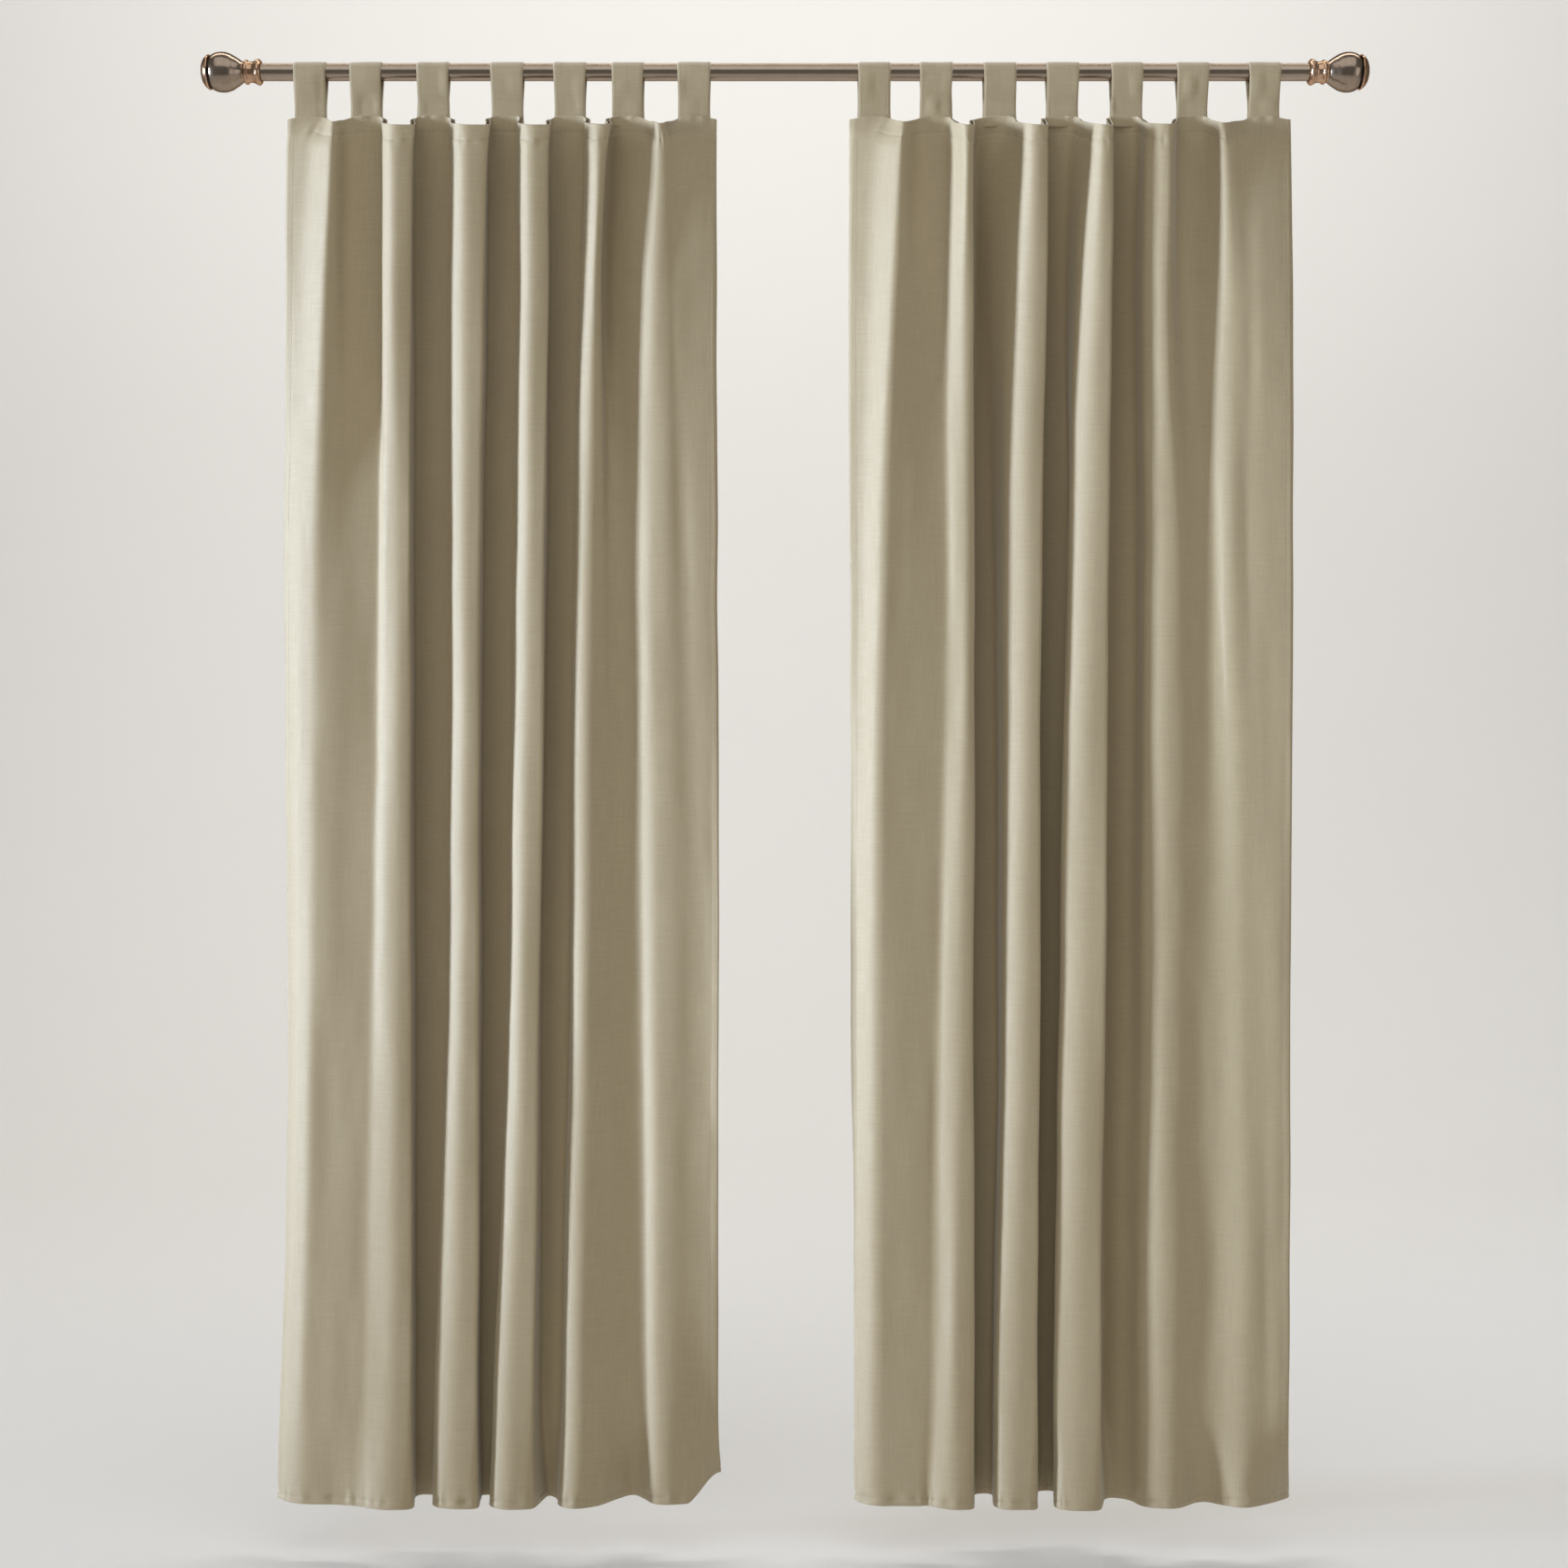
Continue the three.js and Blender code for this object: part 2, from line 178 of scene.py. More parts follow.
RIGHT_CREST = (-60, -58, -48, -42, -42, -42, -46)
RIGHT_FALL = (-56, -54, -45, -39.5, -39.5, -39.5, -43)
RIGHT_FOLDS = {
    "left edge": ((-1, -1, -1, 0, 3, 6, 5), (HEADER_PLANE, -4, -3, -8, 0, 0, 6), 0),
    "first left foot": ((57, 39, 29, 19, 12, 13, 11), (HEADER_PLANE, -13, -15, -16, -14, -10, -6), 13),
    "first crest": ((77, 73, 62, 44, 34, 34, 33), (-27, -40, -44, -41, -35, -29, -26), 14),
    "first right shoulder": ((85, 82, 76, 65, 61, 60, 60), (-24, -35, -42, -40, -34, -30, -29), 12),
    "first right foot": ((100, 100, 104, 101, 101, 98, 98), (HEADER_PLANE, -5, -28, -34, -31, -28, -28), 14),
    "P left foot": ((149, 141, 137, 142, 129, 122, 115), (HEADER_PLANE, -10, -21, -29, -29, -27, -27), 12),
    "P left shoulder": ((152, 156, 152, 152, 141, 134, 124), (-34, -34, -32, -35, -35, -33, -34), 9),
    "P crest": ((165, 167, 167, 169, 159, 148, 147), RIGHT_CREST, 12),
    "P right shoulder": ((181, 179, 180, 181, 181, 181, 182), RIGHT_FALL, 3.5),
    "P right foot": ((183, 184, 185, 182, 182, 182, 183), (HEADER_PLANE, 12, 34, 34, 36, 36, 34), 8),
    "Q left foot": ((242, 219, 204, 218, 223, 216, 217), (HEADER_PLANE, 0, 20, 30, 34, 34, 34), 12),
    "Q left shoulder": ((245, 244, 232, 225, 222, 211, 211), (-28, -28, -24, -24, -27, -29, -31), 10),
    "Q crest": ((264, 264, 260, 255, 247, 234, 231), RIGHT_CREST, 15),
    "Q right shoulder": ((288, 288, 289, 280, 278, 274, 275), RIGHT_FALL, 3.5),
    "Q right foot": ((290, 288, 289, 281, 280, 276, 280), (2, 8, 26, 40, 45, 46, 45), 8),
    "R left foot": ((335, 326, 322, 330, 320, 312, 311), (HEADER_PLANE, -2, 16, 38, 45, 46, 45), 7),
    "R left shoulder": ((346, 344, 331, 319, 306, 297, 296), (-28, -28, -28, -26, -28, -30, -36), 7),
    "R crest": ((366, 364, 358, 346, 335, 327, 324), (-61, -60, -50, -43, -43, -44, -50), 15),
    "R right shoulder": ((383, 383, 383, 378, 372, 367, 366), (-58, -57, -49, -43, -43.5, -44, -48), 4),
    "R right foot": ((387, 387, 389, 383, 376, 375, 383), (2, 8, 24, 30, 28, 26, 18), 10),
    "S left foot": ((429, 428, 424, 429, 418, 413, 416), (-4, -2, 10, 14, 6, 2, 2), 12),
    "S left shoulder": ((432, 431, 429, 431, 429, 426, 424), (-38, -38, -32, -23, -22, -23, -28), 9),
    "S crest": ((457, 457, 456, 457, 457, 455, 456), (-52, -50, -43, -35, -34, -34, -40), 16),
    "S right shoulder": ((475, 472, 471, 482, 482, 479, 484), (-50, -50, -43, -36, -35, -34, -38), 9),
    "S right foot": ((485, 484, 487, 508, 508, 508, 511), (HEADER_PLANE, -1, -8, -28, -27, -25, -8), 12),
    "valley": ((509, 507, 506, 522, 530, 530, 527), (HEADER_PLANE, -2, -6, -26, -26, -25, -6), 14),
    "T left foot": ((530, 525, 526, 538, 549, 546, 543), (HEADER_PLANE, -10, -17, -29, -28, -27, -18), 14),
    "T crest": ((542, 547, 553, 558, 575, 577, 575), (-40, -40, -37, -38, -37, -37, -35), 15),
    "T right shoulder": ((558, 560, 572, 583, 593, 594, 592), (-35, -39, -37, -38, -38, -37, -31), 15),
    "T right foot": ((587, 584, 586, 592, 607, 610, 611), (HEADER_PLANE, -32, -36, -38, -38, -36, -20), 14),
    "last bend": ((612, 607, 602, 607, 622, 623, 627), (HEADER_PLANE, -26, -37, -40, -39, -36, -8), 14),
    "right edge": ((653, 650, 648, 648, 645, 643, 655), (HEADER_PLANE, -20, -35, -42, -41, -36, 14), 0),
}

# Drops below the header's top where the cloth has a row of points: close together at the sewn edges
HEADER_ROWS = [
    0, 0.7, 2, 3.6, 5.6, 8, 10.5, 13, 15.5, 18, 20, 21.6, 23, 24.4, 26, 28, 30.5, 33.5,
    37, 41, 46, 52, 59, 67,
]
BODY_ROWS = np.arange(77, 2016, 22.5)
HEM_ROWS = [2024, 2031, 2036, 2039.5, 2042, 2044, 2045.6, 2047.2, 2049, 2051, 2052.6, 2054]
ROWS = np.concatenate([HEADER_ROWS, BODY_ROWS, HEM_ROWS])
CORNER_POINTS = 7
STRAIGHT_STEP = 3.6


# ---- Numbers
def between(x, low, high):
    """0 below low, 1 above high, smooth between."""
    t = np.clip((x - low) / (high - low), 0, 1)
    return t * t * (3 - 2 * t)


def ridge(x, width):
    """1 at x = 0, fading out on both sides over about width."""
    return np.exp(-((x / width) ** 2))


def unit(v):
    return v / np.maximum(np.linalg.norm(v, axis=-1, keepdims=True), 1e-12)


def travelled(points):
    """The distance along a line of points, at each point."""
    return np.concatenate([[0], np.cumsum(np.linalg.norm(np.diff(points, axis=0), axis=1))])


def along(want, far, points):
    """Points where the distance along the line, far, is what is wanted."""
    return np.stack([np.interp(want, far, points[:, k]) for k in range(points.shape[1])], 1)


def monotone(xk, yk, x):
    """Values at x on a smooth curve through the rows of yk that never overshoots them."""
    width = np.diff(xk)
    h = width[:, None]
    d = np.diff(yk, axis=0) / h
    same = d[:-1] * d[1:] > 0
    before = np.where(same, d[:-1], 1)
    after = np.where(same, d[1:], 1)
    wa = 2 * h[1:] + h[:-1]
    wb = h[1:] + 2 * h[:-1]
    m = np.zeros_like(yk)
    m[1:-1] = np.where(same, (wa + wb) / np.where(same, wa / before + wb / after, 1), 0)
    m[0], m[-1] = d[0], d[-1]
    i = np.clip(np.searchsorted(xk, x, side="right") - 1, 0, len(xk) - 2)
    t = ((x - xk[i]) / width[i])[:, None]
    hi = width[i][:, None]
    return ((1 + 2 * t) * (1 - t) ** 2 * yk[i] + t * (1 - t) ** 2 * hi * m[i]
            + t * t * (3 - 2 * t) * yk[i + 1] + t * t * (t - 1) * hi * m[i + 1])


NOISE_SIZE = 128  # cells before the noise repeats
NOISE_START = 500  # keeps the cells' numbers above zero


def soft_noise(x, y, cell_x, cell_y, seed):
    """Smooth noise from -1 to 1 at each (x, y), with bumps about a cell wide."""
    rng = np.random.default_rng(seed)
    grid = rng.uniform(-1, 1, (NOISE_SIZE, NOISE_SIZE))
    gx, gy = x / cell_x + NOISE_START, y / cell_y + NOISE_START
    ix, iy = np.floor(gx).astype(int), np.floor(gy).astype(int)
    tx, ty = gx - ix, gy - iy
    tx, ty = tx * tx * (3 - 2 * tx), ty * ty * (3 - 2 * ty)

    def at(a, b):
        return grid[(ix + a) % NOISE_SIZE, (iy + b) % NOISE_SIZE]

    return ((at(0, 0) * (1 - tx) + at(1, 0) * tx) * (1 - ty)
            + (at(0, 1) * (1 - tx) + at(1, 1) * tx) * ty)


# ---- Meshes
def add_object(name, verts, faces, uvs=None, material=None):
    """A smooth mesh object from points in mm."""
    mesh = bpy.data.meshes.new(name)
    points = (np.asarray(verts, float) * MM).tolist()
    mesh.from_pydata(points, [], [tuple(int(i) for i in face) for face in faces])
    if uvs is not None:
        layer = mesh.uv_layers.new(name="UVMap")
        index = np.empty(len(mesh.loops), int)
        mesh.loops.foreach_get("vertex_index", index)
        layer.data.foreach_set("uv", (np.asarray(uvs, float) * MM)[index].ravel())
    mesh.polygons.foreach_set("use_smooth", [True] * len(mesh.polygons))
    mesh.validate()
    mesh.update()
    made = bpy.data.objects.new(name, mesh)
    bpy.context.scene.collection.objects.link(made)
    if material:
        mesh.materials.append(material)
    return made


def grid_normals(p):
    """Normals of a grid of points, rows down and columns along +X, facing the room."""
    across = np.gradient(p, axis=1)
    down = np.gradient(p, axis=0)
    return unit(np.cross(down, across))


def rim_of(grid):
    """The grid's border, once round, and the same for the points one step inside it."""
    border = np.concatenate([grid[0, :-1], grid[:-1, -1], grid[-1, :0:-1], grid[:0:-1, 0]])
    inside = np.concatenate([grid[1, :-1], grid[:-1, -2], grid[-2, :0:-1], grid[:0:-1, 1]])
    return border, inside


def closed_sheet(name, front, back, uv, material, bulge=0.35):
    """A closed body from two grids of points, with rounded rims."""
    rows, cols = front.shape[:2]
    count = rows * cols
    index = np.arange(count).reshape(rows, cols)
    a, b = index[:-1, :-1].ravel(), index[1:, :-1].ravel()
    c, d = index[1:, 1:].ravel(), index[:-1, 1:].ravel()
    faces = [np.stack([a, b, c, d], 1), np.stack([d, c, b, a], 1) + count]
    ring, inner = rim_of(index)
    flat_front, flat_back = front.reshape(-1, 3), back.reshape(-1, 3)
    out = unit(flat_front[ring] - flat_front[inner])
    thick = np.linalg.norm(flat_front[ring] - flat_back[ring], axis=1, keepdims=True)
    middle = (flat_front[ring] + flat_back[ring]) / 2 + out * thick * bulge
    mid = 2 * count + np.arange(len(ring))
    nxt, mid_nxt = np.roll(ring, -1), np.roll(mid, -1)
    faces.append(np.stack([ring, nxt, mid_nxt, mid], 1))
    faces.append(np.stack([mid, mid_nxt, nxt + count, ring + count], 1))
    verts = np.concatenate([flat_front, flat_back, middle])
    flat_uv = uv.reshape(-1, 2)
    uvs = np.concatenate([flat_uv, flat_uv, flat_uv[ring]])
    return add_object(name, verts, np.concatenate(faces), uvs, material)


# ---- The cloth of one panel
HEM_LOOSENING = 1.8  # how much rounder the folds' corners get on the way down to the hem
LOOSE_FROM = 1880
CORNER_SHARE = 0.47  # a corner's curve takes at most this much of the shorter stretch beside it


def fold_corners(folds, seed):
    """The folds' corners at every row, wandering a little on the way down: x, y and softness."""
    levels = np.array(LEVELS)
    xs = monotone(levels, np.array([x for x, y, soft in folds.values()], float).T, ROWS)
    ys = monotone(levels, np.array([y for x, y, soft in folds.values()], float).T, ROWS)
    soft = np.array([soft for x, y, soft in folds.values()], float)
    rows, count = xs.shape
    drop = ROWS[:, None] * np.ones((1, count))
    corner = np.arange(count)[None, :] * 1000.0 + np.zeros((rows, 1))
    free = between(drop, 30, 260)
    slow = 1.8 * free * soft_noise(corner, drop, 600, 330, seed)
    quick = 0.8 * free * soft_noise(corner, drop, 700, 120, seed + 1)
    xs = xs + slow + quick
    ys = ys + 1.6 * free * soft_noise(corner, drop, 600, 300, seed + 2)
    return xs, ys, soft


def plan_lines(xs, ys, soft):
    """Rounded plan lines, one per row, all with the same number of points."""
    p = np.stack([xs, ys], -1)
    stretch = np.diff(p, axis=1)
    length = np.linalg.norm(stretch, axis=-1)
    way = stretch / np.maximum(length, 1e-6)[..., None]
    typical = length.mean(0)
    room = np.minimum(length[:, :-1], length[:, 1:]) * CORNER_SHARE
    rounder = 1 + HEM_LOOSENING * between(ROWS, LOOSE_FROM, DROP)[:, None]
    cut = np.zeros(p.shape[:2])
    cut[:, 1:-1] = np.minimum(soft[1:-1] * rounder, room)
    pieces = []
    for k in range(p.shape[1] - 1):
        start = p[:, k] + way[:, k] * cut[:, k, None]
        end = p[:, k + 1] - way[:, k] * cut[:, k + 1, None]
        straight = typical[k] - cut[:, k].mean() - cut[:, k + 1].mean()
        steps = max(2, int(round(straight / STRAIGHT_STEP)))
        t = np.linspace(0, 1, steps + 1)[:-1, None]
        pieces.append(start[:, None] * (1 - t) + end[:, None] * t)
        if k + 2 < p.shape[1]:
            after = p[:, k + 1] + way[:, k + 1] * cut[:, k + 1, None]
            corner = p[:, k + 1][:, None]
            t = np.linspace(0, 1, CORNER_POINTS)[:-1, None]
            pieces.append(end[:, None] * (1 - t) ** 2 + 2 * t * (1 - t) * corner + t * t * after[:, None])
    pieces.append(p[:, -1:])
    line = np.concatenate(pieces, axis=1)
    for _ in range(3):
        line[:, 1:-1] = line[:, 1:-1] * 0.5 + (line[:, :-2] + line[:, 2:]) * 0.25
    return line


def near_tabs(x, tab_xs, inner, outer, apart=0):
    """1 up to inner from a tab's middle, 0 beyond outer. Points that stand apart count as further away."""
    near = np.zeros(len(x))
    for tab_x in tab_xs:
        near = np.maximum(near, 1 - between(np.abs(x - tab_x) + apart, inner, outer))
    return near


def header_dip(y, near_tab):
    """How far each column of the cloth hangs below the header's top."""
    dip = SAG * np.maximum(0, HEADER_PLANE - y) + EDGE_SAG * (1 - near_tab)
    for _ in range(6):
        dip[1:-1] = dip[1:-1] * 0.5 + (dip[:-2] + dip[2:]) * 0.25
    return dip


def relief(across, drop, edge, near_tab, seed):
    """How far the cloth's face stands off its smooth shape: hollows, gathers, puckers and grooves."""
    up = DROP - drop
    from_header = drop - HEADER_STITCH
    from_hem = up - HEM_STITCH
    from_side = edge - SIDE_STITCH
    hollows = HOLLOW * soft_noise(across, drop, 55, 210, seed + 3)
    ripples = RIPPLE * soft_noise(across, drop, 22, 90, seed + 4)
    push = between(drop, 40, 200) * (hollows + ripples)
    gather = np.exp(-drop / 14) * near_tab[None, :]
    push = push + GATHER * gather * soft_noise(across, drop, 7.5, 60, seed + 5)
    push = push + HEADER_PUCKER * ridge(from_header, 9) * soft_noise(across, drop, 7.5, 40, seed + 6)
    push = push - HEADER_GROOVE * ridge(from_header, 1.8)
    push = push + HEM_PUCKER * ridge(from_hem, 9) * soft_noise(across, drop, 7.5, 40, seed + 7)
    push = push + HEM_WAVE * np.exp(-up / 60) * soft_noise(across, drop, 48, 400, seed + 8)
    push = push - HEM_GROOVE * ridge(from_hem, 1.8)
    push = push - SIDE_GROOVE * ridge(from_side, 2.2)
    return push + SIDE_PUCKER * ridge(from_side, 8) * soft_noise(across, drop, 40, 28, seed + 9)


def make_panel(folds, left, tab_xs, seed, lifted):
    """One panel's cloth as grids of points: both faces, the front's normals and its flat coordinates.

    lifted is how far the bottom corner on the right has curled up.
    """
    xs, ys, soft = fold_corners(folds, seed)
    line = plan_lines(xs, ys, soft)
    x, y = line[..., 0] + left, line[..., 1]
    rows, cols = x.shape
    drop = ROWS[:, None] * np.ones((1, cols))
    step = np.linalg.norm(np.diff(line, axis=1), axis=-1)
    from_left = np.pad(np.cumsum(step, axis=1), ((0, 0), (1, 0)))
    from_right = from_left[:, -1:] - from_left
    flat = from_left.mean(0) * FLAT_WIDTH / from_left[:, -1].mean()
    across = np.ones((rows, 1)) * flat[None, :]

    apart = BULGE_WEIGHT * np.maximum(0, -y[0] - BULGE_START)
    near_tab = near_tabs(x[0], tab_xs, TAB_WIDTH / 2 - FOOT_BLEND, TAB_WIDTH / 2 + FOOT_BLEND, apart)
    foot_room = near_tabs(x[0], tab_xs, TAB_WIDTH / 2 + FOOT_ROOM[0], TAB_WIDTH / 2 + FOOT_ROOM[1])
    fade = ridge(ROWS, SAG_FADE)[:, None]
    z = HEADER_TOP - drop - header_dip(y[0], near_tab)[None, :] * fade
    corner = between(across, FLAT_WIDTH - CURL_FROM_EDGE[0], FLAT_WIDTH - CURL_FROM_EDGE[1])
    curl = corner * np.exp(-(((DROP - drop) / CURL_HEIGHT) ** 1.5))
    z = z + lifted * curl
    x = x + CURL_SIDEWAYS * lifted * curl
    y = y + CURL_BACK * lifted * curl
    front = np.stack([x, y, z], -1)

    edge = np.minimum(from_left, from_right)
    push = relief(across, drop, edge, near_tab, seed)
    front = front + grid_normals(front) * push[..., None]
    normal = grid_normals(front)
    bottom_hem = between(HEM_STITCH + 1.5 - (DROP - drop), 0, 1.5)
    side_hem = between(SIDE_STITCH + 2 - edge, 0, 3)
    thick = CLOTH + HEM_EXTRA * np.maximum(bottom_hem, side_hem) * between(drop, 18, 26)
    back = front - normal * thick[..., None]
    uv = np.stack([across, drop], -1)
    return dict(front=front, back=back, normal=normal, uv=uv, drop=drop, foot_room=foot_room,
                from_edges=(from_left, from_right))


# ---- Shader nodes
def node_material(name):
    material = bpy.data.materials.new(name)
    material.use_nodes = True
    tree = material.node_tree
    return material, tree, tree.nodes["Principled BSDF"]


def node(tree, kind, inputs=None, **fields):
    """A new shader node. Each input is another node's output, to link, or a value."""
    made = tree.nodes.new(kind)
    for key, value in fields.items():
        setattr(made, key, value)
    for key, value in (inputs or {}).items():
        if isinstance(value, bpy.types.NodeSocket):
            tree.links.new(value, made.inputs[key])
        else:
            made.inputs[key].default_value = value
    return made


def maths(tree, operation, *values):
    return node(tree, "ShaderNodeMath", dict(enumerate(values)), operation=operation).outputs[0]


def stretched(tree, where, times):
    """Coordinates multiplied by times along each axis."""
    return node(tree, "ShaderNodeVectorMath", {0: where, 1: times}, operation="MULTIPLY").outputs[0]


def noise(tree, where, scale=1.0, detail=2.0, roughness=0.5):
    inputs = {"Vector": where, "Scale": scale, "Detail": detail, "Roughness": roughness}
    return node(tree, "ShaderNodeTexNoise", inputs).outputs[0]


def ramp(tree, value, low, high, ends=(0.0, 1.0)):
    """A colour from low to high as value runs between the ends."""
    made = node(tree, "ShaderNodeValToRGB", {0: value})
    for element, position, colour in zip(made.color_ramp.elements, ends, (low, high)):
        element.position = position
        element.color = (*colour, 1)
    return made.outputs[0]


def remap(tree, value, low, high, to_low, to_high):
    """The value's range from low to high turned into the range from to_low to to_high."""
    return node(tree, "ShaderNodeMapRange", {0: value, 1: low, 2: high, 3: to_low, 4: to_high}).outputs[0]


def add_bump(tree, shader, height, strength, distance):
    bump = node(tree, "ShaderNodeBump", {"Strength": strength, "Distance": distance, "Height": height})
    tree.links.new(bump.outputs[0], shader.inputs["Normal"])


def dimmed(colour, share):
    return tuple(min(1, c * share) for c in colour)


# ---- Materials
WARP = 0.95  # from thread to thread, in mm
WEFT = 0.85
SHEEN = 0.3


def fabric_material(name, light, dark, deep):
    """Woven cloth: a fine weave, slubs along both threads and faint clouds of a deeper colour."""
    material, tree, shader = node_material(name)
    uv = node(tree, "ShaderNodeUVMap", uv_map="UVMap").outputs[0]
    split = node(tree, "ShaderNodeSeparateXYZ", {0: uv})

    def sine(socket, period_mm):
        return maths(tree, "SINE", maths(tree, "MULTIPLY", socket, 2 * math.pi / (period_mm * MM)))

    def streaks(across, down, detail):
        return noise(tree, stretched(tree, uv, (across, down, 1)), detail=detail, roughness=0.6)

    weave = maths(tree, "MULTIPLY", sine(split.outputs[0], WARP), sine(split.outputs[1], WEFT))
    slubs = maths(tree, "ADD", streaks(24, 620, 3.0), streaks(620, 20, 3.0))
    thread = ramp(tree, maths(tree, "MULTIPLY", slubs, 0.5), dark, light, (0.36, 0.64))
    cloud = remap(tree, streaks(9, 7, 2.0), 0.35, 0.75, 0.0, 0.16)
    tint = node(tree, "ShaderNodeMix", {0: cloud, 6: thread, 7: (*deep, 1)}, data_type="RGBA")
    tree.links.new(tint.outputs[2], shader.inputs["Base Color"])
    add_bump(tree, shader, maths(tree, "MULTIPLY_ADD", weave, 0.5, slubs), 0.32, 0.00022)
    tree.links.new(remap(tree, slubs, 0.7, 1.3, 0.68, 0.54), shader.inputs["Roughness"])
    shader.inputs["Specular IOR Level"].default_value = 0.6
    shader.inputs["Sheen Weight"].default_value = SHEEN
    shader.inputs["Sheen Roughness"].default_value = 0.45
    shader.inputs["Sheen Tint"].default_value = (1.0, 0.97, 0.92, 1)
    return material


def thread_material(name, colour):
    material, tree, shader = node_material(name)
    where = node(tree, "ShaderNodeTexCoord").outputs["Object"]
    twist = noise(tree, where, 900.0)
    tree.links.new(ramp(tree, twist, dimmed(colour, 0.75), dimmed(colour, 1.15)), shader.inputs["Base Color"])
    shader.inputs["Roughness"].default_value = 0.6
    shader.inputs["Sheen Weight"].default_value = SHEEN
    return material


def metal_material(name, dark, light, rough, streak, wear, bump_height=0.00004):
    """Brushed, slightly worn metal. streak stretches the brushing along X, Y and Z."""
    material, tree, shader = node_material(name)
    where = node(tree, "ShaderNodeTexCoord").outputs["Object"]
    brush = noise(tree, stretched(tree, where, streak), detail=4.0, roughness=0.65)
    patch = noise(tree, where, 55.0, 5.0, 0.6)
    worn = maths(tree, "MULTIPLY", maths(tree, "MULTIPLY_ADD", brush, wear, patch), 1 / (1 + wear))
    tree.links.new(ramp(tree, worn, dark, light, (0.35, 0.68)), shader.inputs["Base Color"])
    tree.links.new(remap(tree, brush, 0.3, 0.7, rough * 0.8, rough * 1.25), shader.inputs["Roughness"])
    add_bump(tree, shader, brush, 0.25, bump_height)
    shader.inputs["Metallic"].default_value = 1.0
    shader.inputs["Specular Tint"].default_value = (*(0.12 + 0.25 * c for c in light), 1)
    return material


FABRIC = fabric_material(
    "curtain_fabric", light=(0.385, 0.311, 0.190), dark=(0.335, 0.268, 0.160), deep=(0.300, 0.238, 0.139))
THREAD = thread_material("curtain_thread", (0.36, 0.31, 0.21))
ROD_METAL = metal_material(
    "rod_bronze", dark=(0.385, 0.308, 0.238), light=(0.455, 0.366, 0.286),
    rough=0.22, streak=(4, 1500, 1500), wear=1.2, bump_height=0.000004)
BULB_METAL = metal_material(
    "bulb_antique_bronze", dark=(0.310, 0.240, 0.185), light=(0.430, 0.338, 0.264),
    rough=0.20, streak=(900, 9, 9), wear=2.5, bump_height=0.000003)
TRIM_METAL = metal_material(
    "trim_rose_bronze", dark=(0.48, 0.29, 0.175), light=(0.74, 0.50, 0.345),
    rough=0.20, streak=(900, 30, 30), wear=0.5, bump_height=0.00002)
# Painted shade: the ring sunk between the bulb and the cap is near black, standing in for the shade in that
# groove
RING_PAINTED_SHADE_METAL = metal_material(
    "ring_dark", dark=(0.025, 0.020, 0.017), light=(0.075, 0.055, 0.045),
    rough=0.42, streak=(500, 80, 80), wear=0.6)
SCREW_METAL = metal_material(
    "screw_black", dark=(0.018, 0.016, 0.015), light=(0.06, 0.052, 0.046),
    rough=0.45, streak=(400, 400, 400), wear=0.5)


# ---- Stitching
STITCH = 2.9
STITCH_GAP = 0.7
THREAD_RADIUS = 0.24
STITCH_RINGS = 5
STITCH_SIDES = 5
LOOK_AHEAD = 0.3


def stitch_faces(count):
    """The faces of a number of stitches, each a closed tube."""
    size = STITCH_RINGS * STITCH_SIDES
    base = np.arange(count) * size
    faces = []
    for r in range(STITCH_RINGS - 1):
        for s in range(STITCH_SIDES):
            a = base + r * STITCH_SIDES + s
            b = base + r * STITCH_SIDES + (s + 1) % STITCH_SIDES
            faces.append(np.stack([a, b, b + STITCH_SIDES, a + STITCH_SIDES], 1))
    around = np.arange(STITCH_SIDES)
    faces.append(base[:, None] + around[::-1])
    faces.append(base[:, None] + size - STITCH_SIDES + around)
    return faces


def stitches(name, lines):
    """Threads as short raised stitches along lines of (points, normals), all in mm."""
    verts, faces = [], []
    turn = np.arange(STITCH_SIDES) * 2 * math.pi / STITCH_SIDES
    t = np.linspace(0, 1, STITCH_RINGS)
    start = 0
    for points, normals in lines:
        far = travelled(points)
        count = int((far[-1] - STITCH_GAP) // (STITCH + STITCH_GAP))
        if count < 1:
            continue
        begin = np.arange(count) * (STITCH + STITCH_GAP) + STITCH_GAP / 2
        at = (begin[:, None] + t[None, :] * STITCH).ravel()
        normal = unit(along(at, far, normals))
        ahead = along(at + LOOK_AHEAD, far, points) - along(at - LOOK_AHEAD, far, points)
        cross = unit(np.cross(unit(ahead), normal))
        lift = np.tile(THREAD_RADIUS * (0.9 * np.sin(math.pi * t) ** 0.6 - 0.55), count)[:, None]
        thick = np.tile(THREAD_RADIUS * (0.55 + 0.45 * np.sin(math.pi * t) ** 0.5), count)[:, None, None]
        centre = along(at, far, points) + normal * lift
        sideways = np.cos(turn)[None, :, None] * cross[:, None]
        outwards = np.sin(turn)[None, :, None] * normal[:, None]
        verts.append((centre[:, None] + (sideways + outwards) * thick).reshape(-1, 3))
        faces += [group + start for group in stitch_faces(count)]
        start += count * STITCH_RINGS * STITCH_SIDES
    all_faces = [face for group in faces for face in group]
    return add_object(name, np.concatenate(verts), all_faces, material=THREAD)


